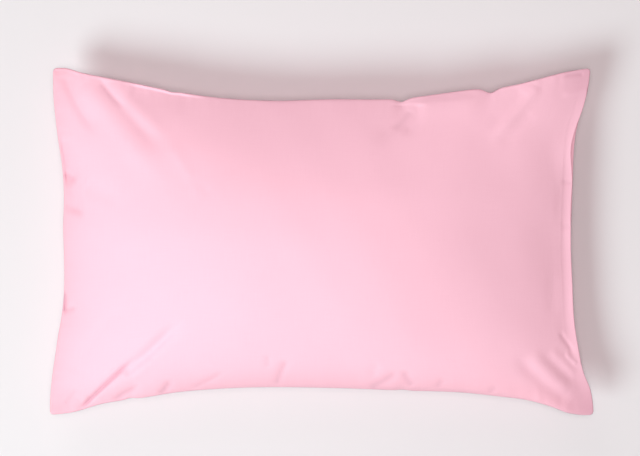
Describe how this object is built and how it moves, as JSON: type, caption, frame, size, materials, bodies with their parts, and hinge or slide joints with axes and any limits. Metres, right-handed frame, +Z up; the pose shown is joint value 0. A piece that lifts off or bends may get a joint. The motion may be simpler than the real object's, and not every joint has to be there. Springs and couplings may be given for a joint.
{
  "type": "filled pillowcase",
  "caption": "Plain pale-pink pillowcase with a pillow inside, lying on its back: crowned front, drawn-in sides, pointed corners, flat lip along the mouth.",
  "frame": {"origin": "on the floor, under the middle of the case's overall box", "axes": "+X along the case from its closed end to its mouth, +Y across it, +Z up out of the crowned front"},
  "size_m": [0.7414, 0.4736, 0.1514],
  "materials": {
    "front_cotton": "plain fine-woven cotton, pale pink, matt with a faint sheen",
    "back_cotton": "plain fine-woven cotton, pale pink, matt with a faint sheen"
  },
  "bodies": {
    "root": {"front_filled": "front_cotton", "back_panel": "back_cotton"}
  },
  "joints": []
}
